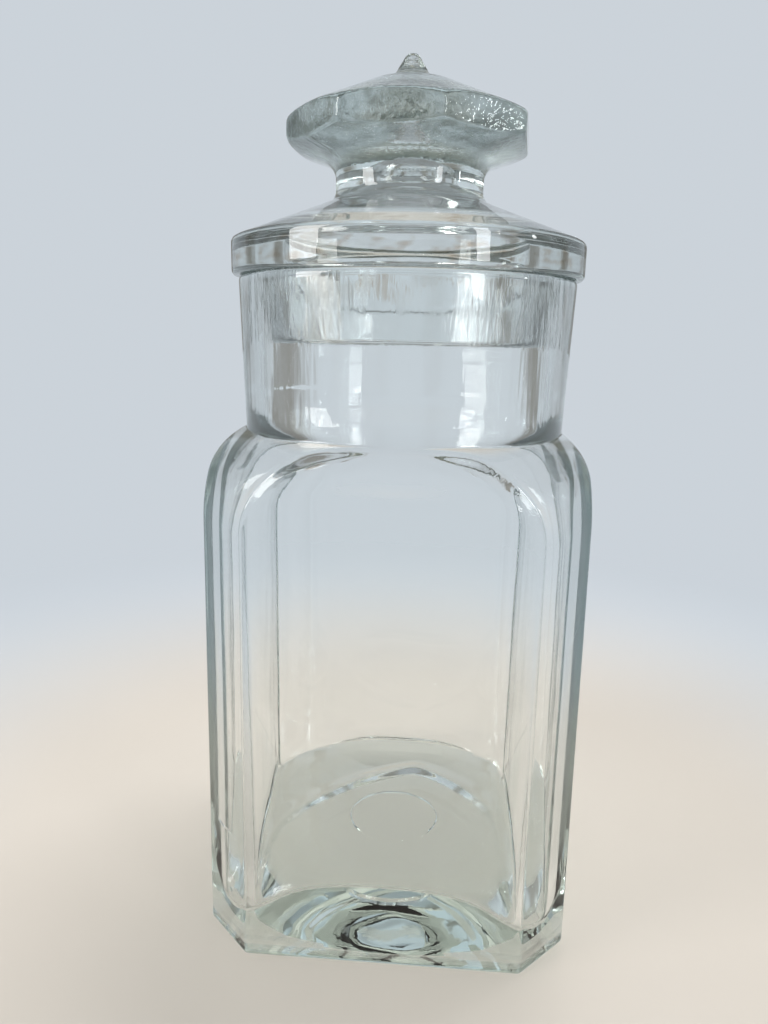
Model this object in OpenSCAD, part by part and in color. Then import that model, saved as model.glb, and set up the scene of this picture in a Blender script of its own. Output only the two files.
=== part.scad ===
// Square glass canister with chamfered corners, a round neck and a hollow
// stopper lid with an eight-sided knob. Millimetres, +Z up, origin at the
// centre of the foot. The lid is drawn seated, with its flange on the rim.

/* [Body] */
// Width across the flats at the foot
foot_w = 110; // [106:0.5:116]
// Width across the flats where the shoulder begins
top_w = 108.2; // [105:0.1:112]
// Length that each corner chamfer takes off a flat
chamfer = 14.2; // [10:0.1:17]
// Depth of the narrow bevels that soften the upright edges
edge_ease = 0.4; // [0.2:0.1:0.8]
// Bevel around the foot
foot_ease = 0.8; // [0.3:0.1:1.5]
// Height at which the shoulder begins
shoulder_z = 129.5; // [90:0.5:160]
// Radius of the shoulder's curve
shoulder_r = 24.7; // [23:0.1:27]
// Radius at which the flats turn in towards the neck
flat_turn_r = 15; // [10:0.5:20]

/* [Cavity] */
// Thickness of the flat walls where the shoulder begins
wall = 4; // [3:0.1:5]
// Radius of the cavity's upright corners
cavity_corner_r = 20; // [17:0.5:28]
// Thickness of the glass in the shoulder
shoulder_wall = 4.5; // [3:0.1:6]
// Height of the cavity's lowest corners
heel_z = 6.5; // [4:0.5:9]
// Height of the raised floor in its middle
floor_z = 19.5; // [17:0.5:26]
// Lean of the raised floor, down towards the back
floor_lean = 4.5; // [0:0.5:6]
// Radius of the raised floor, out to the middle of its rounded edge
floor_r = 45; // [38:0.5:47]
// Radius of the raised floor's rounded edge
floor_edge_r = 15.4; // [11:0.2:17]

/* [Foot] */
// Radius of the hollow under the foot
punt_r = 42; // [36:0.5:46]
// Depth of the hollow under the foot
punt_depth = 3.5; // [2:0.5:6]
// Radius of the round sunk in the middle of the hollow
disc_r = 15.5; // [10:0.5:20]
// Depth of the round below the hollow's middle
disc_depth = 0.8; // [0.3:0.1:1.5]

/* [Neck] */
// How far the foot of the neck stands in from the flats
neck_inset = 4.5; // [3.6:0.1:6]
// Widening of the neck from its foot up to the rim
rim_flare = 1.5; // [0:0.1:2.5]
// Height of the rim, on which the lid's flange rests
rim_z = 198.2; // [190:0.1:230]
// Thickness of the glass around the mouth
rim_wall = 6.9; // [5.7:0.1:8.5]
// Radius that softens the rim's outer edge
rim_ease = 1; // [0.4:0.1:2]

/* [Lid] */
// How far the flange stands out past the rim
flange_lip = 2; // [1:0.1:6]
// Height of the flange's upright edge
flange_h = 10.2; // [8:0.1:14]
// Radius that softens the flange's edges
flange_ease = 1.5; // [0.5:0.1:2.5]
// Rise of the lid's sloping top, from the flange to the waist
top_rise = 12.2; // [9:0.1:15]
// Radius of the waist below the knob
waist_r = 22.1; // [19:0.1:24]
// Radius at which the sloping top turns up into the waist
waist_turn_r = 4.5; // [2:0.1:5]
// Height of the waist's narrowest place above the sloping top
waist_rise = 3.6; // [3.5:0.1:6]

/* [Plug] */
// Radial gap between the ground band of the plug and the mouth
seat_gap = 0.35; // [0.3:0.05:0.8]
// Depth of the plug below the rim
plug_h = 18.7; // [14:0.1:24]
// Height of the ground band at the top of the plug
ground_h = 5; // [3:0.1:8]
// Loss of radius from the ground band to the plug's lower end
plug_taper = 2.2; // [0.5:0.1:3]
// Thickness of the plug's wall at its lower end
plug_wall = 4.6; // [3.4:0.1:7]
// Radius that softens the plug's lower edges
plug_ease = 1.4; // [0.3:0.1:1.5]

/* [Hollow of the lid] */
// Height of glass above the hollow, under the sloping top
top_wall = 5.4; // [4:0.1:7]
// Radius at which the plug's wall turns in under the sloping top
hollow_turn_r = 4; // [2:0.1:6]
// Radius of the hollow inside the waist
core_r = 9.2; // [6:0.1:11]
// Height of the hollow's end above the waist's narrowest place
core_rise = 11; // [7:0.1:12]
// Width and height of the flare at the foot of the hollow in the waist
core_flare = 5; // [3:0.1:7]

/* [Knob] */
// Radius of the knob across its corners
knob_r = 37; // [32:0.1:42]
// Number of flats around the knob
knob_sides = 8; // [6:1:10]
// Turn of the knob's first corner from the front
knob_turn = 16; // [0:0.5:45]
// Height from the waist's narrowest place to the knob's underside
bowl_rise = 6.4; // [5.5:0.1:9]
// Radius at which the waist turns out into the knob's underside
bowl_turn_r = 6; // [3:0.1:6]
// Rise of the knob's underside out to its edge
bowl_h = 5.2; // [4:0.1:9]
// Height of the knob's edge before it is rounded
edge_h = 6.1; // [5:0.1:10]
// Radius that rounds the knob's edge above and below
edge_r = 3.2; // [1.5:0.1:3.6]
// Radius of the crown, the crease around the knob's top
crown_r = 28.5; // [22:0.1:30]
// Rise of the knob's top from its edge to the crown
crown_rise = 3.9; // [3:0.1:7]
// Radius that softens the crown
crown_ease = 2.5; // [0.5:0.1:4]
// Radius at which the knob's top levels off inside the crown
dome_r = 13.4; // [11:0.1:16]
// Rise from the crown to where the top levels off
dome_rise = 7.6; // [5:0.1:9]
// Radius of the foot of the pointed finial
finial_r = 4.3; // [4:0.1:6]
// Rise from where the top levels off to the finial's foot
finial_rise = 2.5; // [1.5:0.1:4]
// Radius of the finial's tip
tip_r = 1.7; // [1.5:0.1:2.2]
// Height of the finial's tip above its foot
tip_h = 5.4; // [4:0.1:7]

/* [Hidden] */

$fn = 96;
glass = [0.78, 0.87, 0.86];

// How far a cut runs past the solid it is taken from
over = 1;

// Half widths of the flats, chamfers and edge bevels, at the foot and shoulder
flat_foot = foot_w / 2;
flat_top = top_w / 2;
chamfer_foot = (foot_w - chamfer) / sqrt(2);
chamfer_top = (top_w - chamfer) / sqrt(2);
bevel_foot = bevel_half(flat_foot) - edge_ease;
bevel_top = bevel_half(flat_top) - edge_ease;

// The rings of the neck, the mouth and the flange, from the flats in and out
neck_r = flat_top - neck_inset;
rim_r = neck_r + rim_flare;
bore_r = rim_r - rim_wall;
flange_r = rim_r + flange_lip;

// The widest circle around the body, and the middle of the shoulder's curve
body_r = norm([flat_foot, flat_foot - chamfer]) + over / 2;
shoulder_mid_r = body_r - shoulder_r;
body_top = shoulder_z + shoulder_r;
neck_z = shoulder_z + rise_at(shoulder_r, neck_r - shoulder_mid_r);
flat_turn_z = neck_z - rise_at(flat_turn_r, flat_turn_r - (flat_top - neck_r));

// The cavity's walls and shoulder
cavity_half = flat_top - wall;
cavity_shoulder_r = shoulder_r - shoulder_wall;

// The hollow under the foot is cut by a large ball
punt_ball_r = (punt_r * punt_r + punt_depth * punt_depth) / (2 * punt_depth);

// The plug, from the rim down
plug_top_r = bore_r - seat_gap;
plug_end_r = plug_top_r - plug_taper;
plug_end_z = rim_z - plug_h;

// The lid, from the rim up
flange_z = rim_z + flange_h;
waist_foot_z = flange_z + top_rise;
waist_z = waist_foot_z + waist_rise;
bowl_z = waist_z + bowl_rise;
edge_low_z = bowl_z + bowl_h;
edge_top_z = edge_low_z + edge_h;
crown_z = edge_top_z + crown_rise;
dome_z = crown_z + dome_rise;
finial_z = dome_z + finial_rise;
tip_z = finial_z + tip_h;

// The knob is turned a little wider than its corners and then cut to its flats
knob_turned_r = 1.01 * knob_r;

// The lid's hollow runs parallel to the sloping top
top_slope = top_rise / (flange_r - waist_r);
hollow_r = plug_end_r - plug_wall;
hollow_z = flange_z + top_slope * (flange_r - hollow_r) - top_wall;
core_foot_r = core_r + core_flare;
core_foot_z = hollow_z + top_slope * (hollow_r - core_foot_r);
core_z = waist_z + core_rise;
core_end_ease = 0.98 * core_r;

// Height of a circle's edge over its middle, at x to the side
function rise_at(r, x) = sqrt(r * r - x * x);

// Half width of a pair of bevels on the edges between flats and chamfers
function bevel_half(half) =
    norm([half, half - chamfer]) * cos(atan((half - chamfer) / half) - 22.5);

// Points of the arc of radius r that rounds corner b between a and c
function arc_at(a, b, c, r, steps) =
    let (
        to_a = (a - b) / norm(a - b),
        to_c = (c - b) / norm(c - b),
        half = acos(to_a * to_c) / 2,
        mid = b + (to_a + to_c) / norm(to_a + to_c) * r / sin(half),
        first = b + to_a * r / tan(half) - mid,
        last = b + to_c * r / tan(half) - mid,
        turn = sign(first.x * last.y - first.y * last.x) * (180 - 2 * half)
    )
    [
        for (i = [0 : steps])
            let (t = turn * i / steps)
            mid + [
                first.x * cos(t) - first.y * sin(t),
                first.x * sin(t) + first.y * cos(t)
            ]
    ];

// An outline of corners [x, y, radius], each rounded where its radius isn't 0
function softened(corners, steps = 6) =
    let (n = len(corners))
    [
        for (i = [0 : n - 1])
            let (
                before = corners[(i + n - 1) % n],
                here = corners[i],
                after = corners[(i + 1) % n],
                a = [before.x, before.y],
                b = [here.x, here.y],
                c = [after.x, after.y]
            )
            each (here.z == 0 ? [b] : arc_at(a, b, c, here.z, steps))
    ];

// Two opposite sides that lean in from the foot and turn over at radius r
module turned_pair(foot, top, turn_z, r, angle) {
    rotate([0, 0, angle]) rotate([90, 0, 0])
    linear_extrude(height = 3 * body_r, center = true) {
        polygon([
            [foot_ease - foot, 0], [foot - foot_ease, 0], [foot, foot_ease],
            [top, turn_z], [-top, turn_z], [-foot, foot_ease]
        ]);
        for (side = [-1, 1])
            translate([side * (top - r), turn_z]) circle(r = r);
        translate([r - top, turn_z - over]) square([2 * (top - r), r + over]);
    }
}

// Two opposite sides that lean in from the foot and stay flat
module flat_pair(foot, top, angle) {
    end = foot - (foot - top) * body_top / shoulder_z;
    rotate([0, 0, angle]) rotate([90, 0, 0])
    linear_extrude(height = 3 * body_r, center = true)
        polygon([
            [foot_ease - foot, 0], [foot - foot_ease, 0], [foot, foot_ease],
            [end, body_top], [-end, body_top], [-foot, foot_ease]
        ]);
}

// An upright round whose top edge is rounded at radius r
module shoulder_round(r) {
    rotate_extrude() {
        square([shoulder_mid_r + r, shoulder_z]);
        translate([0, shoulder_z - over]) square([shoulder_mid_r, r + over]);
        translate([shoulder_mid_r, shoulder_z])
            intersection() {
                circle(r = r);
                translate([-shoulder_mid_r, -r]) square([shoulder_mid_r + r, 2 * r]);
            }
    }
}

// The jar's outside up to the shoulder
module body_outside() {
    intersection() {
        shoulder_round(shoulder_r);
        turned_pair(flat_foot, flat_top, flat_turn_z, flat_turn_r, 0);
        turned_pair(flat_foot, flat_top, flat_turn_z, flat_turn_r, 90);
        turned_pair(chamfer_foot, chamfer_top, shoulder_z, shoulder_r, 45);
        turned_pair(chamfer_foot, chamfer_top, shoulder_z, shoulder_r, 135);
        intersection_for (angle = [22.5 : 45 : 157.5])
            flat_pair(bevel_foot, bevel_top, angle);
    }
}

// The jar's outside from the shoulder to the rim
module neck_outside() {
    rotate_extrude()
        polygon(softened([
            [0, shoulder_z, 0], [neck_r - over, shoulder_z, 0], [neck_r, neck_z, 0],
            [rim_r, rim_z, rim_ease], [0, rim_z, 0]
        ]));
}

// The raised floor, a round with a rounded edge, which leans about its middle
module raised_floor() {
    translate([0, 0, floor_z]) rotate([-floor_lean, 0, 0])
    rotate_extrude() {
        translate([0, -floor_z]) square([floor_r, floor_z]);
        translate([floor_r, -floor_edge_r]) circle(r = floor_edge_r);
    }
}

// The upright walls of the cavity
module cavity_walls() {
    reach = cavity_half - cavity_corner_r;
    translate([0, 0, heel_z])
    linear_extrude(height = body_top - heel_z) {
        for (x = [-1, 1], y = [-1, 1])
            translate([x * reach, y * reach]) circle(r = cavity_corner_r);
        square([2 * cavity_half, 2 * reach], center = true);
        square([2 * reach, 2 * cavity_half], center = true);
    }
}

// The room inside the jar, up to the neck
module cavity() {
    difference() {
        intersection() {
            cavity_walls();
            shoulder_round(cavity_shoulder_r);
        }
        raised_floor();
    }
}

module jar() {
    color(glass)
    difference() {
        union() {
            body_outside();
            neck_outside();
        }
        cavity();
        translate([0, 0, shoulder_z])
            cylinder(r = bore_r, h = rim_z - shoulder_z + over);
        translate([0, 0, punt_depth - punt_ball_r]) sphere(r = punt_ball_r);
        translate([0, 0, -over]) cylinder(r = disc_r, h = over + punt_depth + disc_depth);
    }
}

// The lid's outside, from the plug's lower end to the waist
module lid_outside() {
    rotate_extrude()
        polygon(softened([
            [0, plug_end_z, 0], [plug_end_r, plug_end_z, plug_ease],
            [plug_top_r, rim_z - ground_h, 0], [plug_top_r, rim_z, 0],
            [flange_r, rim_z, flange_ease], [flange_r, flange_z, flange_ease],
            [waist_r, waist_foot_z, waist_turn_r], [waist_r, waist_z, 0],
            [0, waist_z, 0]
        ]));
}

// The knob, turned as a round and cut to its flats
module knob() {
    intersection() {
        rotate_extrude()
            polygon(softened([
                [0, waist_z - over, 0], [waist_r, waist_z - over, 0],
                [waist_r, bowl_z, bowl_turn_r],
                [knob_turned_r, edge_low_z, edge_r], [knob_turned_r, edge_top_z, edge_r],
                [crown_r, crown_z, crown_ease], [dome_r, dome_z, dome_r / 2],
                [finial_r, finial_z, finial_r / 2], [tip_r, tip_z, 0.9 * tip_r],
                [0, tip_z, 0]
            ]));
        translate([0, 0, waist_z - over]) rotate([0, 0, knob_turn - 90])
            cylinder(r = knob_r, h = tip_z - waist_z + 2 * over, $fn = knob_sides);
    }
}

// The hollow of the lid, open below
module lid_hollow() {
    rotate_extrude()
        polygon(softened([
            [0, plug_end_z - over, 0], [hollow_r, plug_end_z - over, 0],
            [hollow_r, hollow_z, hollow_turn_r],
            [core_foot_r, core_foot_z, core_flare / 2],
            [core_r, core_foot_z + core_flare, core_flare / 2],
            [core_r, core_z, core_end_ease], [0, core_z, 0]
        ]));
}

module lid() {
    color(glass)
    difference() {
        union() {
            lid_outside();
            knob();
        }
        lid_hollow();
    }
}

jar();
lid();
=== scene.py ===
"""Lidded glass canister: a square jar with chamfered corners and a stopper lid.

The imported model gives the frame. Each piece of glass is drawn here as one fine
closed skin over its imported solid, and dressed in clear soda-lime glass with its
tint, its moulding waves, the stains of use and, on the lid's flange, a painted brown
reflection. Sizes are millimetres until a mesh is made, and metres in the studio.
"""

import logging
import math
from collections.abc import Callable, Sequence
from dataclasses import dataclass, field
from enum import Enum

import bpy
import numpy as np
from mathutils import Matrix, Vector

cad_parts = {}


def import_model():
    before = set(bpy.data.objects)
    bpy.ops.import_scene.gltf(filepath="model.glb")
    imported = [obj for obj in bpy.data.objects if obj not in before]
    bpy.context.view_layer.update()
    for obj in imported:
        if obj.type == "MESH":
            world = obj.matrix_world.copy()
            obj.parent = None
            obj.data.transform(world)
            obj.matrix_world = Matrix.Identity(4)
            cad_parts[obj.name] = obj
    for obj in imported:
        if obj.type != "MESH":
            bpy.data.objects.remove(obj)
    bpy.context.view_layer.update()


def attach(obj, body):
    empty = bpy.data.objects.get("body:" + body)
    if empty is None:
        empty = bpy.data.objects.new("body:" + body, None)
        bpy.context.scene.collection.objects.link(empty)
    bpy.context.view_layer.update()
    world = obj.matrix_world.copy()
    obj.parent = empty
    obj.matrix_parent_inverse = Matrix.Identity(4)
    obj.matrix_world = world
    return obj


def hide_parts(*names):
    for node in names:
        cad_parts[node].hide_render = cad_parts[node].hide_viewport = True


MM = 0.001

# A field's value where a form has no say
FAR = 9.0

# Angle over the level of a ray that drops straight down
DOWN = -90.0

# Heights and radii of the rings that rays start from
UNDER_Z = 8.0
ROOM_Z = 40.0
SHOULDER_HUB_R = 40.0
MOUTH_HUB_R = 34.0
RIM_HUB_R = 47.4

Colour = tuple[float, float, float]
Point = tuple[float, float, float]
Corner = tuple[float, float, float]

log = logging.getLogger("canister")


# ---------------------------------------------------------------- shader nodes


@dataclass(frozen=True)
class Value:
    """A number socket that can stand in a sum."""

    graph: "Graph"
    socket: bpy.types.NodeSocket

    def __add__(self, other: "Term") -> "Value":
        """Sum of two numbers."""
        return self.graph.maths("ADD", self, other)

    def __radd__(self, other: float) -> "Value":
        """Sum with the number on the left."""
        return self.graph.maths("ADD", other, self)

    def __sub__(self, other: "Term") -> "Value":
        """Difference of two numbers."""
        return self.graph.maths("SUBTRACT", self, other)

    def __rsub__(self, other: float) -> "Value":
        """Difference from a number on the left."""
        return self.graph.maths("SUBTRACT", other, self)

    def __mul__(self, other: "Term") -> "Value":
        """Product of two numbers."""
        return self.graph.maths("MULTIPLY", self, other)

    def __rmul__(self, other: float) -> "Value":
        """Product with the number on the left."""
        return self.graph.maths("MULTIPLY", other, self)

    def __truediv__(self, other: "Term") -> "Value":
        """Quotient of two numbers."""
        return self.graph.maths("DIVIDE", self, other)


Term = Value | float


class Ray(Enum):
    """The kinds of ray that a shader can tell apart."""

    CAMERA = "Is Camera Ray"
    SHADOW = "Is Shadow Ray"
    DIFFUSE = "Is Diffuse Ray"
    GLOSSY = "Is Glossy Ray"
    REFLECTED = "Is Reflection Ray"
    THROUGH = "Is Transmission Ray"


class Graph:
    """The nodes of one material, or of the world."""

    def __init__(self, tree: bpy.types.NodeTree) -> None:
        """Empties a node tree, ready to be built.

        Args:
            tree: The node tree of a material or a world.
        """
        self.tree = tree
        tree.nodes.clear()

    def node(
        self, kind: str, settings: dict | None = None, inputs: dict | None = None
    ) -> bpy.types.Node:
        """Adds a node.

        Args:
            kind: Blender's name for the node's type.
            settings: The node's own settings, set first.
            inputs: Values or links for its sockets, by name or number.

        Returns:
            The new node.
        """
        made = self.tree.nodes.new(kind)
        for name, value in (settings or {}).items():
            setattr(made, name, value)
        for name, value in (inputs or {}).items():
            self.feed(made.inputs[name], value)
        return made

    def feed(self, socket: bpy.types.NodeSocket, value: object) -> None:
        """Gives a socket its value or its link.

        Args:
            socket: The input socket.
            value: A number, a colour, a vector, a Value or an output socket.
        """
        if isinstance(value, Value):
            self.tree.links.new(value.socket, socket)
        elif isinstance(value, bpy.types.NodeSocket):
            self.tree.links.new(value, socket)
        elif isinstance(value, tuple) and socket.type == "RGBA":
            socket.default_value = (*value, 1.0)
        else:
            socket.default_value = value

    def ray(self, kind: Ray) -> Value:
        """1 for one kind of ray and 0 for the others."""
        return Value(self, self.node("ShaderNodeLightPath").outputs[kind.value])

    def shares(
        self, share: Term, first: bpy.types.Node, second: bpy.types.Node
    ) -> bpy.types.Node:
        """A Mix Shader node.

        Args:
            share: How much of the second shader shows.
            first: The shader at 0.
            second: The shader at 1.

        Returns:
            The mixing node.
        """
        inputs = {0: share, 1: first.outputs[0], 2: second.outputs[0]}
        return self.node("ShaderNodeMixShader", None, inputs)

    def maths(self, operation: str, *terms: Term, clamp: bool = False) -> Value:
        """A Math node on numbers.

        Args:
            operation: The node's operation.
            terms: Its operands.
            clamp: Keeps the result from 0 to 1.

        Returns:
            The result.
        """
        inputs = dict(enumerate(terms))
        settings = {"operation": operation, "use_clamp": clamp}
        made = self.node("ShaderNodeMath", settings, inputs)
        return Value(self, made.outputs[0])

    def step(self, value: Value, low: float, high: float) -> Value:
        """A smooth step from 0 at low to 1 at high.

        Args:
            value: The number that runs across the step.
            low: Where the step is 0.
            high: Where the step is 1, which may be below low.

        Returns:
            The step.
        """
        inputs = {"Value": value, "From Min": low, "From Max": high}
        made = self.node("ShaderNodeMapRange", {"interpolation_type": "SMOOTHSTEP"}, inputs)
        return Value(self, made.outputs["Result"])

    def noise(
        self, place: bpy.types.NodeSocket, size: float, detail: float = 2.0, blur: float = 0.5
    ) -> Value:
        """Noise whose features have about one size.

        Args:
            place: The coordinates, in metres.
            size: The features' size in millimetres.
            detail: How many finer layers are added.
            blur: How strong the finer layers are.

        Returns:
            The noise, about 0.5 in the mean.
        """
        inputs = {"Vector": place, "Scale": 1.0 / (size * MM), "Detail": detail, "Roughness": blur}
        made = self.node("ShaderNodeTexNoise", None, inputs)
        return Value(self, made.outputs[0])

    def stretched(self, place: bpy.types.NodeSocket, tall: float) -> bpy.types.NodeSocket:
        """Coordinates on which a pattern is drawn out upright.

        Args:
            place: The coordinates.
            tall: How many times as tall as wide the pattern's features are.

        Returns:
            The scaled coordinates.
        """
        inputs = {0: place, 1: (1.0, 1.0, 1.0 / tall)}
        made = self.node("ShaderNodeVectorMath", {"operation": "MULTIPLY"}, inputs)
        return made.outputs[0]

    def blend(self, share: Value, first: object, second: object) -> bpy.types.NodeSocket:
        """A colour between two.

        Args:
            share: How much of the second colour shows.
            first: The colour at 0.
            second: The colour at 1.

        Returns:
            The mixed colour.
        """
        inputs = {"Factor": share, 6: first, 7: second}
        made = self.node("ShaderNodeMix", {"data_type": "RGBA"}, inputs)
        return made.outputs[2]


# -------------------------------------------------------------------- finishes


@dataclass(frozen=True)
class Spot:
    """Where a shaded place lies, in metres: as a vector, along each axis, and off the axis."""

    place: bpy.types.NodeSocket
    x: Value
    y: Value
    height: Value
    across: Value

    @classmethod
    def on(cls, graph: Graph) -> "Spot":
        """Reads the place from the piece's own coordinates."""
        place = graph.node("ShaderNodeTexCoord").outputs["Object"]
        axes = graph.node("ShaderNodeSeparateXYZ", None, {0: place})
        x, y, z = (Value(graph, axes.outputs[axis]) for axis in "XYZ")
        return cls(place, x, y, z, graph.maths("SQRT", x * x + y * y))


@dataclass(frozen=True)
class Band:
    """A band of height on a piece, with soft ends, in millimetres."""

    low: float
    high: float
    soft: float

    def mask(self, graph: Graph, height: Value) -> Value:
        """How far a place lies in the band.

        Args:
            graph: The material's nodes.
            height: The height in metres.

        Returns:
            1 inside the band and 0 outside it.
        """
        rise = graph.step(height, (self.low - self.soft) * MM, self.low * MM)
        fall = graph.step(height, (self.high + self.soft) * MM, self.high * MM)
        return rise * fall


@dataclass(frozen=True)
class Ripple:
    """A fine unevenness that the mould leaves on a band of the skin, in millimetres."""

    where: Band
    size: float
    depth: float
    tall: float = 1.0
    detail: float = 1.0
    blur: float = 0.6

    def relief(self, graph: Graph, spot: Spot) -> Value:
        """How far the skin stands up.

        Args:
            graph: The material's nodes.
            spot: The place.

        Returns:
            The relief in millimetres.
        """
        drawn = graph.stretched(spot.place, self.tall)
        grain = graph.noise(drawn, self.size, self.detail, self.blur)
        return grain * self.depth * self.where.mask(graph, spot.height)


@dataclass(frozen=True)
class SettledFloor:
    """The bell-shaped line where the glass of the floor settled, in millimetres."""

    where: Band = Band(12.0, 34.0, 1.0)
    front_y: float = -37.0
    length: float = 59.0
    half_width: float = 39.0
    shoulder: float = 1.35
    front_x: float = -2.3
    lean: float = 0.15
    soft: float = 0.05
    width: float = 0.16
    fade: float = 9.0
    depth: float = 1.0

    def relief(self, graph: Graph, spot: Spot) -> Value:
        """How far the skin stands up.

        Args:
            graph: The material's nodes.
            spot: The place.

        Returns:
            The relief in millimetres.
        """
        along = spot.y - self.front_y * MM
        aside = graph.maths("ABSOLUTE", spot.x - along * self.lean - self.front_x * MM)
        wide = graph.maths("POWER", aside / (self.half_width * MM), self.shoulder)
        deep = along / (self.length * MM)
        reach = graph.maths("SQRT", wide + deep * deep)
        inner = graph.step(reach, 1.0 - self.soft, 1.0 + self.soft)
        outer = graph.step(reach, 1.0 + self.width, 1.0 + self.soft)
        clear = graph.step(spot.y, (self.front_y - self.fade) * MM, self.front_y * MM)
        return inner * outer * clear * self.depth * self.where.mask(graph, spot.height)


@dataclass(frozen=True)
class StainOrPaintedReflection:
    """A patchy colour on a band of the skin: old grime and the dull bloom of use, and on the lid's
    flange a painted brown reflection.
    """

    where: Band
    colour: Colour
    share: float
    size: float
    low: float
    high: float
    tall: float = 1.0
    detail: float = 2.0
    blur: float = 0.6

    def cover(self, graph: Graph, spot: Spot) -> Value:
        """How thickly it lies.

        Args:
            graph: The material's nodes.
            spot: The place.

        Returns:
            Its share of the colour.
        """
        drawn = graph.stretched(spot.place, self.tall)
        grain = graph.noise(drawn, self.size, self.detail, self.blur)
        patches = graph.step(grain, self.low, self.high)
        return patches * self.share * self.where.mask(graph, spot.height)


@dataclass(frozen=True)
class GroundBand:
    """A band of the skin that is ground matt, in upright streaks, in millimetres."""

    where: Band
    inner_r: float = 0.0
    outer_r: float = 1000.0
    edge: float = 0.3
    roughness: float = 0.16
    least: float = 0.12
    streak_size: float = 1.4
    streak_tall: float = 1.0 / 0.07
    patch_size: float = 9.0
    weight: float = 0.6
    thin: float = 0.5
    thick: float = 0.8
    tooth_size: float = 0.7
    tooth_tall: float = 1.0 / 0.16
    tooth_depth: float = 0.08

    def cover(self, graph: Graph, spot: Spot) -> Value:
        """How matt each place is.

        Args:
            graph: The material's nodes.
            spot: The place.

        Returns:
            1 where it is fully ground, and 0 off the band.
        """
        inside = graph.step(spot.across, (self.inner_r - self.edge) * MM, self.inner_r * MM)
        outside = graph.step(spot.across, (self.outer_r + self.edge) * MM, self.outer_r * MM)
        drawn = graph.stretched(spot.place, self.streak_tall)
        streaks = graph.noise(drawn, self.streak_size, 1.0, 0.6)
        patches = graph.noise(spot.place, self.patch_size, 1.0)
        mixed = streaks * self.weight + patches * self.weight
        ground = self.least + graph.step(mixed, self.thin, self.thick) * (1.0 - self.least)
        return self.where.mask(graph, spot.height) * inside * outside * ground

    def tooth(self, graph: Graph, spot: Spot) -> Value:
        """The fine relief that grinding leaves.

        Args:
            graph: The material's nodes.
            spot: The place.

        Returns:
            The relief in millimetres, where the glass is fully ground.
        """
        drawn = graph.stretched(spot.place, self.tooth_tall)
        return graph.noise(drawn, self.tooth_size, 1.0, 0.65) * self.tooth_depth


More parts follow.
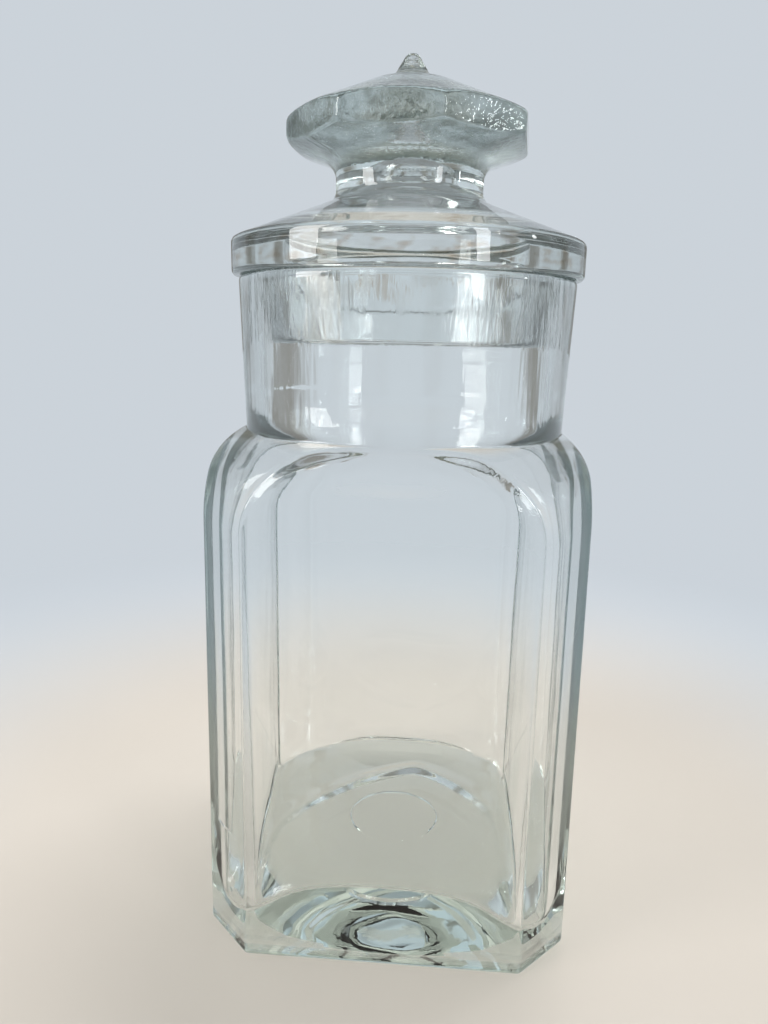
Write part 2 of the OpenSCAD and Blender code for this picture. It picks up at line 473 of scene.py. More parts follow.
@dataclass(frozen=True)
class ClearGlass:
    """Clear soda-lime glass, with its tint, waves, ripples, smudges, stains, painted reflection and
    ground band.

    Light that bounces inside the glass leaks a little, above the foot, so that thick
    edges stay grey instead of black. Sizes are millimetres.
    """

    name: str
    ior: float = 1.52
    film: Colour = (0.99, 0.995, 0.993)
    depth_colour: Colour = (0.55, 0.85, 0.79)
    depth_density: float = 5.0
    daylight: float = 0.8
    polish: float = 0.003
    smudge: float = 0.04
    smudge_size: float = 16.0
    smudge_from: float = 0.55
    smudge_full: float = 0.75
    wave_depth: float = 0.1
    wave_size: float = 11.0
    wave_tall: float = 2.0
    ripples: tuple[Ripple | SettledFloor, ...] = ()
    stray: float = 0.3
    stray_where: Band = Band(30.0, 400.0, 12.0)
    stray_colour: Colour = (0.42, 0.47, 0.46)
    ground: GroundBand | None = None
    stains_and_painted_reflection: tuple[StainOrPaintedReflection, ...] = ()

    def material(self) -> bpy.types.Material:
        """Makes the material.

        Returns:
            A new material.
        """
        made = bpy.data.materials.new(self.name)
        made.use_nodes = True
        graph = Graph(made.node_tree)
        spot = Spot.on(graph)
        ground = None if self.ground is None else self.ground.cover(graph, spot)
        glass = graph.node(
            "ShaderNodeBsdfPrincipled",
            None,
            {
                "Base Color": self._film(graph, spot),
                "Roughness": self._roughness(graph, spot, ground),
                "IOR": self.ior,
                "Transmission Weight": 1.0,
                "Normal": self._relief(graph, spot, ground),
            },
        )
        depth = graph.node(
            "ShaderNodeVolumeAbsorption",
            None,
            {"Color": self.depth_colour, "Density": self.depth_density},
        )
        stray = graph.node("ShaderNodeBsdfTransparent", None, {"Color": self.stray_colour})
        share = self.stray_where.mask(graph, spot.height) * self.stray
        leaking = graph.shares(share, glass, stray)
        mirrored = graph.shares(graph.ray(Ray.DIFFUSE), leaking, glass)
        traced = graph.shares(graph.ray(Ray.REFLECTED), glass, mirrored)
        clear = graph.node("ShaderNodeBsdfTransparent", None, {"Color": (self.daylight,) * 3})
        lit = graph.shares(graph.ray(Ray.SHADOW), traced, clear)
        graph.node(
            "ShaderNodeOutputMaterial",
            None,
            {"Surface": lit.outputs[0], "Volume": depth.outputs[0]},
        )
        return made

    def _roughness(self, graph: Graph, spot: Spot, ground: Value | None) -> Value:
        """Polish, handling smudges and the ground band.

        Args:
            graph: The material's nodes.
            spot: The place.
            ground: How matt each place is.

        Returns:
            The roughness.
        """
        grain = graph.noise(spot.place, self.smudge_size, 2.0, 0.62)
        prints = graph.step(grain, self.smudge_from, self.smudge_full)
        worn = self.polish + prints * self.smudge
        if ground is None:
            return worn
        return worn + ground * self.ground.roughness

    def _relief(self, graph: Graph, spot: Spot, ground: Value | None) -> bpy.types.NodeSocket:
        """Faint moulding waves and ripples, with the tooth of the ground band.

        Args:
            graph: The material's nodes.
            spot: The place.
            ground: How matt each place is.

        Returns:
            The bumped normal.
        """
        drawn = graph.stretched(spot.place, self.wave_tall)
        relief = graph.noise(drawn, self.wave_size, 0.0) * self.wave_depth
        for ripple in self.ripples:
            relief = relief + ripple.relief(graph, spot)
        if ground is not None:
            relief = relief + ground * self.ground.tooth(graph, spot)
        inputs = {"Strength": 1.0, "Distance": MM, "Height": relief}
        return graph.node("ShaderNodeBump", None, inputs).outputs[0]

    def _film(self, graph: Graph, spot: Spot) -> object:
        """The colour of the surface, with the stains and the painted reflection that lie on it.

        Args:
            graph: The material's nodes.
            spot: The place.

        Returns:
            A colour, or a socket that gives one.
        """
        film = self.film
        for film_patch in self.stains_and_painted_reflection:
            film = graph.blend(film_patch.cover(graph, spot), film, film_patch.colour)
        return film


# ------------------------------------------------------------- fields and skins


def soft_max(first: np.ndarray, second: np.ndarray, reach: float) -> np.ndarray:
    """The larger of two fields, with the corner between them rounded off.

    Args:
        first: A field, negative inside.
        second: Another field.
        reach: The difference below which the corner is rounded.

    Returns:
        The field of what lies in both.
    """
    share = np.maximum(reach - np.abs(first - second), 0.0) / reach
    return np.maximum(first, second) + share * share * reach * 0.25


def soft_min(first: np.ndarray, second: np.ndarray, reach: float) -> np.ndarray:
    """The smaller of two fields, with the corner between them filled in.

    Args:
        first: A field, negative inside.
        second: Another field.
        reach: The difference below which the corner is filled.

    Returns:
        The field of what lies in either.
    """
    return -soft_max(-first, -second, reach)


@dataclass(frozen=True)
class Waves:
    """Smooth uneven waves through space, in millimetres, drawn from a seed."""

    depth: float
    length: float
    seed: int
    count: int = 6

    def at(self, points: np.ndarray) -> np.ndarray:
        """The waves' height.

        Args:
            points: The places.

        Returns:
            The height at each place.
        """
        random = np.random.default_rng(self.seed)
        total = np.zeros(points.shape[:-1])
        for _ in range(self.count):
            heading = random.normal(size=3)
            heading /= np.linalg.norm(heading)
            pace = 2.0 * np.pi / (self.length * random.uniform(0.7, 1.5))
            total += np.sin(points @ (heading * pace) + random.uniform(0.0, 2.0 * np.pi))
        return total * self.depth / math.sqrt(self.count)


Field = Callable[[np.ndarray], np.ndarray]


@dataclass(frozen=True)
class Row:
    """One ring of a skin: where its rays start, and how steeply they leave."""

    across: float
    height: float
    angle: float
    hug: float = 0.0


def fan(
    across: float, height: float, first: float, last: float, count: int, hug: float = 0.0
) -> list[Row]:
    """Rows whose rays spread from one ring.

    Args:
        across: The ring's radius.
        height: The ring's height.
        first: The first ray's angle over the level, in degrees.
        last: The last ray's angle.
        count: How many rows there are.
        hug: How far the ring follows the body's outline, from 0 to 1.

    Returns:
        The rows.
    """
    return [Row(across, height, angle, hug) for angle in np.linspace(first, last, count)]


def climb(first: float, last: float, count: int) -> list[Row]:
    """Rows whose rays leave the axis level, at a run of heights.

    Args:
        first: The first height.
        last: The last height.
        count: How many rows there are.

    Returns:
        The rows.
    """
    return [Row(0.0, height, 0.0) for height in np.linspace(first, last, count)]


def plumb(first: float, last: float, height: float, count: int, hug: tuple[float, float]) -> list[Row]:
    """Rows whose rays drop straight down, at a run of radii.

    Args:
        first: The first radius.
        last: The last radius.
        height: Where the rays start.
        count: How many rows there are.
        hug: How far the first and the last row follow the body's outline.

    Returns:
        The rows.
    """
    radii = np.linspace(first, last, count)
    follows = np.linspace(*hug, count)
    return [Row(radius, height, DOWN, follow) for radius, follow in zip(radii, follows)]


def cast(inside: Field, rows: Sequence[Row], turns: np.ndarray, outline: np.ndarray) -> np.ndarray:
    """Finds where rays leave a field.

    Args:
        inside: The field, negative where the rays start.
        rows: The rings that the rays start from.
        turns: Each ray's turn about the axis, in radians.
        outline: How far the body's side stands past its nearest point, at each turn.

    Returns:
        A point for each row and turn.
    """
    angle = np.radians([row.angle for row in rows])[:, None]
    across = np.array([row.across for row in rows])[:, None]
    across = across + np.array([row.hug for row in rows])[:, None] * outline[None, :]
    height = np.array([row.height for row in rows])[:, None] + 0.0 * across
    start = np.stack([across * np.cos(turns), across * np.sin(turns), height], axis=-1)
    level = np.cos(angle) + 0.0 * across
    heading = np.stack(
        [level * np.cos(turns), level * np.sin(turns), np.sin(angle) + 0.0 * across], axis=-1
    )
    near = np.zeros(across.shape)
    far = np.full(across.shape, 100.0)
    for _ in range(26):
        middle = (near + far) / 2.0
        within = inside(start + heading * middle[..., None]) < 0.0
        near = np.where(within, middle, near)
        far = np.where(within, far, middle)
    return start + heading * near[..., None]


def crowded_turns(
    count: int, crowds: Sequence[tuple[Sequence[float], float, float]]
) -> np.ndarray:
    """Turns about the axis that crowd together at edges.

    Args:
        count: How many turns there are.
        crowds: For each set of edges their turns, how much closer the turns lie at
            an edge, and how wide the crowding is, in degrees.

    Returns:
        The turns, in radians.
    """
    fine = np.linspace(0.0, 360.0, 7201)
    weight = np.ones(fine.shape)
    for edges, gain, spread in crowds:
        for edge in edges:
            away = (fine - edge + 180.0) % 360.0 - 180.0
            weight += gain * np.exp(-((away / spread) ** 2))
    total = np.concatenate([[0.0], np.cumsum((weight[1:] + weight[:-1]) / 2.0)])
    wanted = np.linspace(0.0, total[-1], count, endpoint=False)
    return np.radians(np.interp(wanted, total, fine))


def skin(name: str, rings: np.ndarray, first: Point, last: Point) -> bpy.types.Object:
    """Makes a closed smooth mesh from rings and a point at either end.

    Args:
        name: The object's name.
        rings: A point for each ring and turn, in millimetres.
        first: The point that closes the first ring.
        last: The point that closes the last ring.

    Returns:
        The new object.
    """
    rows, turns = rings.shape[:2]
    points = np.concatenate([rings.reshape(-1, 3), [first], [last]]) * MM
    index = np.arange(rows * turns).reshape(rows, turns)
    here, beyond = index[:-1], index[1:]
    quads = np.stack(
        [here, np.roll(here, -1, axis=1), np.roll(beyond, -1, axis=1), beyond], axis=-1
    ).reshape(-1, 4)
    start, end = rows * turns, rows * turns + 1
    caps = [(start, int(index[0, (i + 1) % turns]), int(index[0, i])) for i in range(turns)]
    caps += [(end, int(index[-1, i]), int(index[-1, (i + 1) % turns])) for i in range(turns)]
    mesh = bpy.data.meshes.new(name)
    mesh.from_pydata(points.tolist(), [], quads.tolist() + caps)
    mesh.shade_smooth()
    mesh.validate()
    made = bpy.data.objects.new(name, mesh)
    bpy.context.scene.collection.objects.link(made)
    return made


def dressed(piece: bpy.types.Object, finish: ClearGlass, body: str, node: str) -> None:
    """Gives a piece its glass and its place in the frame.

    Args:
        piece: The piece.
        finish: Its glass.
        body: The body that it rides on.
        node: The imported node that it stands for.
    """
    piece.data.materials.append(finish.material())
    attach(piece, body)
    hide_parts(node)


# ------------------------------------------------------------------------- jar


def rise_at(radius: float, aside: float) -> float:
    """Height of a circle's edge over its middle.

    Args:
        radius: The circle's radius.
        aside: How far to the side of the middle.

    Returns:
        The height.
    """
    return math.sqrt(radius**2 - aside**2)


@dataclass(frozen=True)
class Jar:
    """The square jar, one piece of glass from its foot to its rim."""

    foot_half: float = 55.0
    top_half: float = 54.1
    chamfer: float = 14.2
    shoulder_z: float = 129.5
    shoulder_r: float = 24.7
    shoulder_out: float = 0.52
    flat_turn_r: float = 15.0
    neck_inset: float = 4.5
    rim_flare: float = 1.5
    rim_z: float = 198.2
    rim_wall: float = 6.9
    mouth_z: float = 143.0
    mouth_slope: float = 2.0
    wall: float = 4.0
    shoulder_wall: float = 4.5
    cavity_corner_r: float = 20.0
    floor_z: float = 19.5
    floor_lean: float = 4.5
    floor_r: float = 45.0
    floor_edge_r: float = 15.4
    heel_z: float = 6.5
    punt_r: float = 42.0
    punt_depth: float = 3.5
    disc_r: float = 15.5
    disc_depth: float = 0.8
    disc_reach: float = 0.3
    edge_reach: float = 0.55
    shoulder_reach: float = 1.0
    room_reach: float = 3.5
    neck_reach: float = 0.4
    rim_reach: float = 1.6
    foot_reach: float = 0.9
    mouth_reach: float = 13.0
    heel_reach: float = 2.6
    outer_waves: Waves = Waves(0.03, 34.0, 3)
    inner_waves: Waves = Waves(0.07, 42.0, 5)
    turns: int = 340
    finish: ClearGlass = field(
        default_factory=lambda: ClearGlass(
            "jar_clear_glass",
            ripples=(
                Ripple(Band(158.0, 196.0, 3.0), 2.6, 0.05, 12.0),
                Ripple(Band(10.0, 150.0, 8.0), 1.6, 0.01, 14.0),
                SettledFloor(),
            ),
            ground=GroundBand(Band(180.0, 199.5, 2.0), outer_r=45.2, roughness=0.2),
        )
    )

    @property
    def neck_r(self) -> float:
        """Radius of the neck's foot."""
        return self.top_half - self.neck_inset

    @property
    def rim_r(self) -> float:
        """Radius of the rim."""
        return self.neck_r + self.rim_flare

    @property
    def bore_r(self) -> float:
        """Radius of the mouth."""
        return self.rim_r - self.rim_wall

    @property
    def shoulder_mid_r(self) -> float:
        """Radius of the middle of the shoulder's curve, which clears the widest corner."""
        corner = math.hypot(self.foot_half, self.foot_half - self.chamfer)
        return corner + self.shoulder_out - self.shoulder_r

    @property
    def neck_z(self) -> float:
        """Height at which the neck leaves the shoulder."""
        return self.shoulder_z + rise_at(self.shoulder_r, self.neck_r - self.shoulder_mid_r)

    @property
    def flat_turn_z(self) -> float:
        """Height at which the flats start to turn in under the neck."""
        return self.neck_z - rise_at(self.flat_turn_r, self.flat_turn_r - self.neck_inset)

    def outside(self, points: np.ndarray) -> np.ndarray:
        """The field of the jar's outside, with no room in it.

        Args:
            points: The places, in millimetres.

        Returns:
            The field, negative inside.
        """
        x, y, z = np.abs(points[..., 0]), np.abs(points[..., 1]), points[..., 2]
        across = np.hypot(x, y)
        lean = (self.foot_half - self.top_half) * np.minimum(z, self.shoulder_z) / self.shoulder_z
        flats = np.maximum(x, y) - (self.foot_half - lean)
        turned = np.maximum(flats + self.flat_turn_r, 0.0)
        flats = np.hypot(turned, np.maximum(z - self.flat_turn_z, 0.0)) - self.flat_turn_r
        rise = np.maximum(z - self.shoulder_z, 0.0)
        strip = (x + y) / math.sqrt(2.0) + lean / math.sqrt(2.0) * 2.0
        strip_half = (2.0 * self.foot_half - self.chamfer) / math.sqrt(2.0)
        inward = np.maximum(strip - (strip_half - self.shoulder_r), 0.0)
        chamfers = np.hypot(inward, rise) - self.shoulder_r
        outer = np.maximum(across - self.shoulder_mid_r, 0.0)
        shoulder = np.hypot(outer, rise) - self.shoulder_r
        sides = soft_max(flats, chamfers, self.edge_reach)
        body = soft_max(sides, shoulder, self.shoulder_reach)
        share = (z - self.neck_z) / (self.rim_z - self.neck_z)
        neck = across - (self.neck_r + (self.rim_r - self.neck_r) * share)
        above = np.where(z > self.shoulder_z, neck, FAR)
        solid = soft_min(body, above, self.neck_reach)
        solid = soft_max(solid, z - self.rim_z, self.rim_reach)
        solid = soft_max(solid, -z, self.foot_reach)
        ball = (self.punt_r**2 + self.punt_depth**2) / (2.0 * self.punt_depth)
        hollow = np.hypot(across, z - (self.punt_depth - ball)) - ball
        disc = np.maximum(across - self.disc_r, z - (self.punt_depth + self.disc_depth))
        hollow = soft_min(hollow, disc, self.disc_reach)
        uneven = self.outer_waves.at(points) * np.clip((z - 12.0) / 30.0, 0.0, 1.0)
        return soft_max(solid, -hollow, self.foot_reach) + uneven

    def inside(self, points: np.ndarray) -> np.ndarray:
        """The field of the room in the jar.

        Args:
            points: The places, in millimetres.

        Returns:
            The field, negative in the room.
        """
        x, y, z = np.abs(points[..., 0]), np.abs(points[..., 1]), points[..., 2]
        across = np.hypot(x, y)
        reach = self.top_half - self.wall - self.cavity_corner_r
        past_x, past_y = x - reach, y - reach
        corner = np.hypot(np.maximum(past_x, 0.0), np.maximum(past_y, 0.0))
        walls = corner + np.minimum(np.maximum(past_x, past_y), 0.0) - self.cavity_corner_r
        rise = np.maximum(z - self.shoulder_z, 0.0)
        outer = np.maximum(across - self.shoulder_mid_r, 0.0)
        shoulder = np.hypot(outer, rise) - (self.shoulder_r - self.shoulder_wall)
        room = soft_max(walls, shoulder, self.room_reach)
        bore = across - self.bore_r + np.maximum(self.mouth_z - z, 0.0) * self.mouth_slope
        room = soft_min(room, bore, self.mouth_reach)
        lean = math.radians(self.floor_lean)
        rise = (z - self.floor_z) * math.cos(lean) + points[..., 1] * math.sin(lean)
        back = points[..., 1] * math.cos(lean) - (z - self.floor_z) * math.sin(lean)
        out = np.maximum(np.hypot(x, back) - self.floor_r, 0.0)
        cushion = np.hypot(out, np.maximum(rise + self.floor_edge_r, 0.0))
        room = soft_max(room, self.floor_edge_r - cushion, self.heel_reach)
        calm = 0.25 + 0.75 * np.clip((z - 30.0) / 20.0, 0.0, 1.0)
        uneven = self.inner_waves.at(points) * calm
        return soft_max(room, self.heel_z - z, self.heel_reach) + uneven

    def rim(self, points: np.ndarray) -> np.ndarray:
        """The field of the glass around the mouth.

        Args:
            points: The places, in millimetres.

        Returns:
            The field, negative in the glass.
        """
        return soft_max(self.outside(points), -self.inside(points), self.rim_reach)

    def build(self) -> bpy.types.Object:
        """Draws the jar and dresses it.

        Returns:
            The jar.
        """
        edge = math.degrees(math.atan((self.foot_half - self.chamfer) / self.foot_half))
        quarters = (0.0, 90.0, 180.0, 270.0)
        edges = [base + side for base in quarters for side in (edge, 90.0 - edge)]
        upper = [base + side for base in quarters for side in (edge - 4.0, 94.0 - edge)]
        turns = crowded_turns(self.turns, ((edges, 4.0, 1.3), (upper, 1.6, 3.5)))
        outline = self._outline(turns)
        outer = cast(self.outside, self._outer_rows(), turns, outline)
        rim = cast(self.rim, fan(RIM_HUB_R, self.rim_z - 3.0, 0.0, 180.0, 26), turns, outline)
        inner = cast(self.inside, self._inner_rows(), turns, outline)
        base = cast(self.outside, [Row(0.0, UNDER_Z, DOWN)], turns[:1], outline[:1])
        floor = cast(self.inside, [Row(0.0, ROOM_Z, DOWN)], turns[:1], outline[:1])
        rings = np.concatenate([outer, rim, inner])
        made = skin("jar_glass_shell", rings, tuple(base[0, 0]), tuple(floor[0, 0]))
        dressed(made, self.finish, "jar", "jar")
        return made

    def _outer_rows(self) -> list[Row]:
        """The rows from the middle of the foot, up the walls, to the rim.

        Returns:
            The rows.
        """
        rows = plumb(1.5, self.disc_r - 0.5, UNDER_Z, 6, (0.0, 0.0))
        rows += plumb(self.disc_r - 0.2, self.disc_r + 0.3, UNDER_Z, 4, (0.0, 0.0))
        rows += plumb(self.disc_r + 0.8, self.punt_r - 2.0, UNDER_Z, 9, (0.0, 0.0))
        rows += plumb(self.punt_r - 1.6, self.punt_r + 1.8, UNDER_Z, 8, (0.0, 0.0))
        rows += plumb(self.punt_r + 2.6, self.foot_half - 3.5, UNDER_Z, 6, (0.1, 1.0))
        rows += fan(self.foot_half - 4.0, 5.0, -84.0, 0.0, 22, 1.0)
        rows += climb(6.5, self.shoulder_z - 1.0, 24)
        rows += fan(SHOULDER_HUB_R, self.shoulder_z, 0.0, 62.0, 36)
        rows += fan(SHOULDER_HUB_R, self.shoulder_z, 62.5, 73.0, 24)
        return rows + climb(164.5, self.rim_z - 4.0, 11)

    def _inner_rows(self) -> list[Row]:
        """The rows from the mouth, down the walls, to the middle of the floor.

        Returns:
            The rows.
        """
        rows = climb(self.rim_z - 4.0, 165.0, 9)
        rows += fan(MOUTH_HUB_R, self.shoulder_z + 0.5, 73.0, 46.0, 20)
        rows += fan(MOUTH_HUB_R, self.shoulder_z + 0.5, 44.0, 0.0, 16)
        rows += climb(self.shoulder_z - 1.0, 37.0, 19)
        rows += fan(SHOULDER_HUB_R, 35.0, 0.0, -88.0, 42, 0.8)
        return rows + plumb(39.0, 1.5, ROOM_Z, 12, (0.0, 0.0))

    def _outline(self, turns: np.ndarray) -> np.ndarray:
        """How far the side stands past the middle of a flat, at each turn.

        Args:
            turns: The turns about the axis, in radians.

        Returns:
            The extra radius.
        """
        side = cast(self.outside, [Row(0.0, 30.0, 0.0)], turns, np.zeros(turns.shape))[0]
        radius = np.hypot(side[:, 0], side[:, 1])
        return radius - radius.min()


# ------------------------------------------------------------------------- lid


def softened(corners: Sequence[Corner], step: float) -> np.ndarray:
    """Runs along an outline with rounded corners.

    Args:
        corners: Each corner's radius from the axis, its height, and its rounding.
        step: The distance between points.

    Returns:
        Evenly spaced points of the outline.
    """
    path = [np.array(corners[0][:2])]
    for before, here, after in zip(corners, corners[1:], corners[2:]):
        a, b, c = (np.array(corner[:2]) for corner in (before, here, after))
        if here[2] == 0.0:
            path.append(b)
            continue
        to_a = (a - b) / np.linalg.norm(a - b)
        to_c = (c - b) / np.linalg.norm(c - b)
        half = math.acos(np.clip(to_a @ to_c, -1.0, 1.0)) / 2.0
        middle = b + (to_a + to_c) / np.linalg.norm(to_a + to_c) * here[2] / math.sin(half)
        first = b + to_a * here[2] / math.tan(half) - middle
        sweep = math.copysign(math.pi - 2.0 * half, to_a[1] * to_c[0] - to_a[0] * to_c[1])
        for turn in np.linspace(0.0, sweep, 9):
            cos, sin = math.cos(turn), math.sin(turn)
            turned = [first[0] * cos - first[1] * sin, first[0] * sin + first[1] * cos]
            path.append(middle + np.array(turned))
    path.append(np.array(corners[-1][:2]))
    points = np.array(path)
    along = np.concatenate([[0.0], np.cumsum(np.linalg.norm(np.diff(points, axis=0), axis=1))])
    wanted = np.linspace(0.0, along[-1], round(along[-1] / step) + 1)
    return np.stack([np.interp(wanted, along, points[:, axis]) for axis in (0, 1)], axis=-1)


@dataclass(frozen=True)
class StopperLid:
    """The hollow stopper lid, one piece of glass from its plug to its finial."""

    jar: Jar = Jar()
    flange_lip: float = 2.0
    flange_h: float = 10.2
    flange_ease: float = 1.5
    top_rise: float = 12.2
    waist_r: float = 22.1
    waist_turn_r: float = 4.5
    waist_rise: float = 3.6
    seat_gap: float = 0.35
    seat_ease: float = 0.4
    plug_h: float = 18.7
    plug_taper: float = 2.2
    plug_wall: float = 4.6
    plug_ease: float = 1.4
    plug_turn_r: float = 55.0
    ground_h: float = 5.0
    top_wall: float = 5.4
    hollow_turn_r: float = 4.0
    core_r: float = 9.2
    core_rise: float = 11.0
    core_flare: float = 5.0
    bowl_rise: float = 6.4
    bowl_turn_r: float = 6.0
    bowl_h: float = 5.2
    edge_h: float = 6.1
    edge_r: float = 3.2
    knob_r: float = 37.0
    knob_sides: int = 8
    knob_turned_r: float = 37.3
    knob_turn: float = -74.0
    knob_edge_reach: float = 0.012
    knob_reach: float = 1.2
    crown_r: float = 28.5
    crown_rise: float = 3.9
    crown_ease: float = 1.0
    dome_r: float = 13.4
    dome_rise: float = 6.8
    finial_r: float = 6.1
    finial_rise: float = 1.8
    finial_turn_r: float = 6.0
    tip_r: float = 1.7
    tip_h: float = 6.9
    swell: Waves = Waves(0.05, 30.0, 9)
    turns: int = 256
    step: float = 0.85
    finish: ClearGlass = field(
        default_factory=lambda: ClearGlass(
            "lid_clear_glass",
            ripples=(
                Ripple(Band(180.0, 196.0, 2.0), 2.2, 0.04, 5.0),
                Ripple(Band(200.0, 209.0, 1.5), 2.2, 0.02, 6.0),
                Ripple(Band(229.0, 262.0, 2.0), 1.7, 0.16, 1.0, 2.0),
            ),
            stray_colour=(0.3, 0.31, 0.3),
            ground=GroundBand(Band(180.5, 198.6, 1.5), inner_r=41.0),
            stains_and_painted_reflection=(
                # painted reflection: the brown band on the flange's upright face stands in for a brown
                # surround seen in the glass
                StainOrPaintedReflection(Band(201.5, 206.5, 1.5), (0.5, 0.33, 0.19), 0.8, 9.0, 0.5, 0.7, 1.0 / 2.2),
                StainOrPaintedReflection(Band(229.5, 262.0, 1.5), (0.63, 0.65, 0.65), 0.8, 1.4, 0.45, 0.62, 1.0, 3.0),
                StainOrPaintedReflection(Band(232.0, 244.0, 2.0), (0.33, 0.32, 0.28), 0.75, 6.0, 0.54, 0.68),
            ),
        )
    )

    @property
    def plug_end_r(self) -> float:
        """Radius of the plug's lower end."""
        return self.jar.bore_r - self.seat_gap - self.plug_taper

    @property
    def hollow_r(self) -> float:
        """Radius of the hollow in the plug."""
        return self.plug_end_r - self.plug_wall

    @property
    def waist_foot_z(self) -> float:
        """Height at which the sloping top meets the waist."""
        return self.jar.rim_z + self.flange_h + self.top_rise

    @property
    def waist_z(self) -> float:
        """Height of the waist's middle."""
        return self.waist_foot_z + self.waist_rise

    @property
    def core_z(self) -> float:
        """Height of the end of the core, the narrow part of the hollow."""
        return self.waist_z + self.core_rise

    @property
    def dome_z(self) -> float:
        """Height at which the top levels off."""
        edge_top_z = self.waist_z + self.bowl_rise + self.bowl_h + self.edge_h
        return edge_top_z + self.crown_rise + self.dome_rise

    @property
    def tip_z(self) -> float:
        """Height of the finial's tip."""
        return self.dome_z + self.finial_rise + self.tip_h

    def _hollow(self) -> list[Corner]:
        """The hollow's outline, from the end of the core down to the plug's wall.

        Returns:
            Its corners.
        """
        flange_r, flange_z = self.jar.rim_r + self.flange_lip, self.jar.rim_z + self.flange_h
        slope = self.top_rise / (flange_r - self.waist_r)
        hollow_z = flange_z + slope * (flange_r - self.hollow_r) - self.top_wall
        foot_r = self.core_r + self.core_flare
        foot_z = hollow_z + slope * (self.hollow_r - foot_r)
        return [
            (0.0, self.core_z, 0.0),
            (self.core_r, self.core_z, self.core_r - 0.2),
            (self.core_r, foot_z + self.core_flare, self.core_flare / 2.0),
            (foot_r, foot_z, self.core_flare / 2.0),
            (self.hollow_r, hollow_z, self.hollow_turn_r),
        ]

    def _plug(self) -> list[Corner]:
        """The plug's and the flange's outline, from the plug's end up to the waist.

        Returns:
            Its corners.
        """
        rim_z, end_z = self.jar.rim_z, self.jar.rim_z - self.plug_h
        plug_r, flange_r = self.jar.bore_r - self.seat_gap, self.jar.rim_r + self.flange_lip
        return [
            (self.hollow_r, end_z, self.plug_ease),
            (self.plug_end_r, end_z, self.plug_ease),
            (plug_r, rim_z - self.ground_h, self.plug_turn_r),
            (plug_r, rim_z, self.seat_ease),
            (flange_r, rim_z, self.flange_ease),
            (flange_r, rim_z + self.flange_h, self.flange_ease),
            (self.waist_r, self.waist_foot_z, self.waist_turn_r),
        ]

    def _knob(self) -> list[Corner]:
        """The knob's outline, from the waist up to the tip.

        Returns:
            Its corners.
        """
        bowl_z = self.waist_z + self.bowl_rise
        edge_z = bowl_z + self.bowl_h
        crown_z = edge_z + self.edge_h + self.crown_rise
        return [
            (self.waist_r, bowl_z, self.bowl_turn_r),
            (self.knob_turned_r, edge_z, self.edge_r),
            (self.knob_turned_r, edge_z + self.edge_h, self.edge_r),
            (self.crown_r, crown_z, self.crown_ease),
            (self.dome_r, self.dome_z, self.dome_r / 2.0),
            (self.finial_r, self.dome_z + self.finial_rise, self.finial_turn_r),
            (self.tip_r, self.tip_z, self.tip_r * 0.9),
            (0.0, self.tip_z, 0.0),
        ]

    def _flats(self, turns: np.ndarray) -> np.ndarray:
        """How far the knob's flats stand from the axis.

        Args:
            turns: The turns about the axis, in radians.

        Returns:
            The radius at each turn.
        """
        side = 360.0 / self.knob_sides
        away = np.abs((np.degrees(turns) - self.knob_turn) % side - side / 2.0)
        near, next_one = np.cos(np.radians(away)), np.cos(np.radians(side - away))
        flat = self.knob_r * math.cos(math.radians(side / 2.0))
        return flat / soft_max(near, next_one, self.knob_edge_reach)

    def build(self) -> bpy.types.Object:
        """Draws the lid and dresses it.

        Returns:
            The lid.
        """
        corners = [self.knob_turn + 360.0 / self.knob_sides * side for side in range(self.knob_sides)]
        turns = crowded_turns(self.turns, ((corners, 3.0, 2.0),))
        profile = softened(self._hollow() + self._plug() + self._knob(), self.step)[1:-1]
        radius, height = (profile[:, axis][:, None] + 0.0 * turns for axis in (0, 1))
        cut = soft_min(radius, self._flats(turns) + 0.0 * radius, self.knob_reach)
        radius = np.where(height > self.waist_z, cut, radius)
        rings = np.stack([radius * np.cos(turns), radius * np.sin(turns), height], axis=-1)
        swell = self.swell.at(rings)[..., None]
        level = np.array([1.0, 1.0, 0.0]) * rings / np.maximum(radius, 1.0)[..., None]
        rings = rings + level * swell * (radius[..., None] < self.hollow_r + 1.0)
        made = skin("stopper_lid_glass", rings, (0.0, 0.0, self.core_z), (0.0, 0.0, self.tip_z))
        dressed(made, self.finish, "lid", "lid")
        return made


# ----------------------------------------------------------------------- stage


@dataclass(frozen=True)
class Softbox:
    """A tall soft lamp that stands around the object, in metres and degrees."""

    name: str
    turn: float
    rise: float
    distance: float
    width: float
    height: float
    power: float
    colour: Colour = (1.0, 1.0, 1.0)
    mirrored: bool = True
    aim_z: float = 0.13

    def build(self) -> bpy.types.Object:
        """Sets up the lamp, aimed at the jar's shoulder.

        Returns:
            The lamp.
        """
        lamp = bpy.data.lights.new(self.name, "AREA")
        lamp.shape = "RECTANGLE"
        lamp.size, lamp.size_y = self.width, self.height
        lamp.energy, lamp.color = self.power, self.colour
        made = bpy.data.objects.new(self.name, lamp)
        turn, rise = math.radians(self.turn), math.radians(self.rise)
        target = Vector((0.0, 0.0, self.aim_z))
        level = math.cos(rise)
        heading = Vector((math.sin(turn) * level, -math.cos(turn) * level, math.sin(rise)))
        made.location = target + heading * self.distance
        made.rotation_euler = (-heading).to_track_quat("-Z", "Y").to_euler()
        made.visible_glossy = made.visible_transmission = self.mirrored
        bpy.context.scene.collection.objects.link(made)
        return made


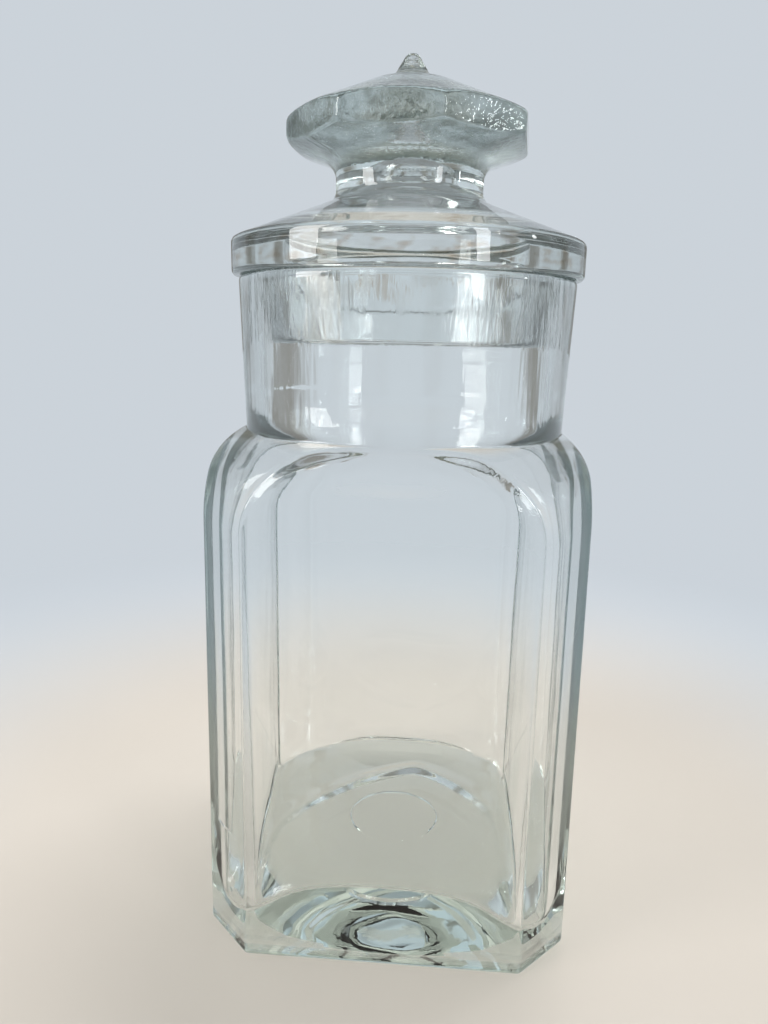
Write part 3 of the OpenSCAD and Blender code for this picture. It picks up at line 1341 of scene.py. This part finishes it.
@dataclass(frozen=True)
class Studio:
    """A plain pale floor that runs into a pale surround, with soft lamps."""

    floor_colour: Colour = (0.60, 0.55, 0.49)
    surround_colour: Colour = (0.60, 0.65, 0.70)
    ceiling_colour: Colour = (0.36, 0.38, 0.40)
    card_colour: Colour = (0.24, 0.23, 0.21)
    floor_radius: float = 6.0
    floor_sides: int = 96
    near: float = 0.13
    far: float = 0.42
    card_count: float = 8.0
    card_edge: float = -0.35
    ceiling_from: float = 0.30
    ceiling_full: float = 0.62

    def build(self) -> None:
        """Makes the floor, the surround and the lamps."""
        self._floor()
        self._surround()
        for lamp in (
            Softbox("window_left", -62.0, 24.0, 0.9, 0.30, 0.62, 5.0, (1.0, 0.99, 0.97)),
            Softbox("window_right", 47.0, 18.0, 1.0, 0.16, 0.55, 2.4, (0.97, 0.99, 1.0)),
            Softbox("side_right", 82.0, 15.0, 1.0, 0.05, 0.13, 0.35, (0.97, 0.99, 1.0)),
            Softbox("overhead", 150.0, 68.0, 1.0, 0.5, 0.4, 8.0, mirrored=False),
        ):
            lamp.build()

    def _seen(self, graph: Graph) -> Value:
        """Rays that show the background: from the camera, a gloss or through glass."""
        direct = graph.ray(Ray.CAMERA) + graph.ray(Ray.GLOSSY)
        return graph.maths("ADD", direct, graph.ray(Ray.THROUGH), clamp=True)

    def _floor(self) -> None:
        """Makes the floor, which fades into the surround with distance."""
        mesh = bpy.data.meshes.new("floor")
        ring = [
            (self.floor_radius * math.cos(turn), self.floor_radius * math.sin(turn), 0.0)
            for turn in np.linspace(0.0, 2.0 * math.pi, self.floor_sides, endpoint=False)
        ]
        mesh.from_pydata(ring, [], [tuple(range(self.floor_sides))])
        floor = bpy.data.objects.new("floor", mesh)
        bpy.context.scene.collection.objects.link(floor)
        made = bpy.data.materials.new("pale_floor")
        made.use_nodes = True
        graph = Graph(made.node_tree)
        place = graph.node("ShaderNodeTexCoord").outputs["Object"]
        length = graph.node("ShaderNodeVectorMath", {"operation": "LENGTH"}, {0: place})
        away = graph.step(Value(graph, length.outputs["Value"]), self.near, self.far)
        colour = graph.blend(away, self.floor_colour, self.surround_colour)
        matt = graph.node("ShaderNodeBsdfDiffuse", None, {"Color": colour})
        glow = graph.node("ShaderNodeEmission", None, {"Color": self.surround_colour})
        mixed = graph.shares(away * self._seen(graph), matt, glow)
        graph.node("ShaderNodeOutputMaterial", None, {"Surface": mixed.outputs[0]})
        mesh.materials.append(made)

    def _surround(self) -> None:
        """Lights the world: pale, darker overhead, with dark cards that draw the edges."""
        world = bpy.data.worlds.new("surround")
        bpy.context.scene.world = world
        world.use_nodes = True
        graph = Graph(world.node_tree)
        place = graph.node("ShaderNodeTexCoord").outputs["Generated"]
        axes = graph.node("ShaderNodeSeparateXYZ", None, {0: place})
        x, y, z = (Value(graph, axes.outputs[axis]) for axis in "XYZ")
        turn = graph.maths("ARCTAN2", x, y)
        lobes = graph.maths("COSINE", turn * self.card_count)
        cards = graph.step(lobes, self.card_edge, -1.0)
        overhead = graph.step(z, self.ceiling_from, self.ceiling_full)
        room = graph.blend(overhead, self.surround_colour, self.ceiling_colour)
        lit = graph.blend(cards, room, self.card_colour)
        colour = graph.blend(graph.ray(Ray.CAMERA), lit, self.surround_colour)
        glow = graph.node("ShaderNodeBackground", None, {"Color": colour, "Strength": 1.0})
        graph.node("ShaderNodeOutputWorld", None, {"Surface": glow.outputs[0]})


@dataclass(frozen=True)
class Camera:
    """The camera, in metres and degrees: its pitch up from straight down, roll and turn."""

    place: Point = (0.01193, -0.2468, 0.18195)
    pitch: float = 77.019
    roll: float = -1.154
    turn: float = 4.353
    lens: float = 27.04
    nearest: float = 0.01

    def build(self) -> bpy.types.Object:
        """Places the camera and makes it the scene's.

        Returns:
            The camera.
        """
        data = bpy.data.cameras.new("camera")
        data.lens = self.lens
        data.clip_start = self.nearest
        made = bpy.data.objects.new("camera", data)
        made.location = self.place
        made.rotation_euler = [math.radians(angle) for angle in (self.pitch, self.roll, self.turn)]
        bpy.context.scene.collection.objects.link(made)
        bpy.context.scene.camera = made
        return made


def main() -> None:
    """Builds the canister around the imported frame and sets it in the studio."""
    logging.basicConfig(level=logging.INFO, format="%(message)s")
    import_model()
    for part in (Jar(), StopperLid()):
        piece = part.build()
        log.info("%s: %d faces", piece.name, len(piece.data.polygons))
    Studio().build()
    Camera().build()
    bpy.context.scene.view_settings.view_transform = "Standard"


if __name__ == "__main__":
    main()
